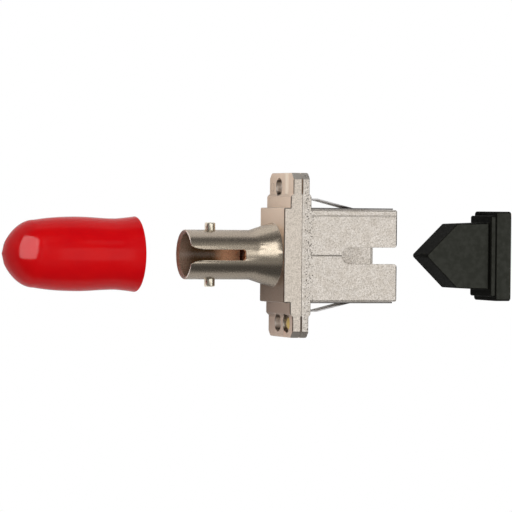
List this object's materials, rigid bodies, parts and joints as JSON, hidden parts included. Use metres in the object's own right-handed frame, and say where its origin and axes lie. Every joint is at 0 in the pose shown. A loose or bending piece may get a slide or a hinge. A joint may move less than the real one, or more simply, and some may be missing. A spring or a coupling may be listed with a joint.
{
  "type": "fibre optic coupler",
  "caption": "Hybrid fibre optic coupler: round bayonet barrel and square push-pull socket back to back on a flange, with its dust cap and dust plug pulled off.",
  "frame": {"origin": "on the light path, at the parting plane between the two halves", "axes": "+X along the light path towards the square socket; +Y along the flange from ear to ear; +Z towards the side with both keyways"},
  "size_m": [0.0708, 0.022, 0.01],
  "materials": {
    "cast_nickel": "nickel plate over a grainy zinc die casting",
    "lug_brass": "satin brass",
    "sleeve_ceramic": "polished white ceramic",
    "insert_plastic": "natural moulded plastic",
    "clip_steel": "dark spring steel",
    "cap_vinyl": "glossy dipped vinyl",
    "plug_rubber": "dull moulded rubber"
  },
  "bodies": {
    "coupler": {"bayonet_housing": "cast_nickel", "socket_housing": "cast_nickel", "upper_bayonet_lug": "lug_brass", "lower_bayonet_lug": "lug_brass", "alignment_sleeve": "sleeve_ceramic", "latch_insert": "insert_plastic", "panel_clip": "clip_steel", "upper_rivet": "cast_nickel", "lower_rivet": "lug_brass"},
    "dust_cap": {"bayonet_dust_cap": "cap_vinyl"},
    "dust_plug": {"socket_dust_plug": "plug_rubber"}
  },
  "joints": [
    {"name": "cap_slide", "type": "slide", "parent": "coupler", "child": "dust_cap", "axis": [1, 0, 0], "range_m": [0, 0.01918]},
    {"name": "plug_slide", "type": "slide", "parent": "coupler", "child": "dust_plug", "axis": [-1, 0, 0], "range_m": [0, 0.01417]}
  ]
}
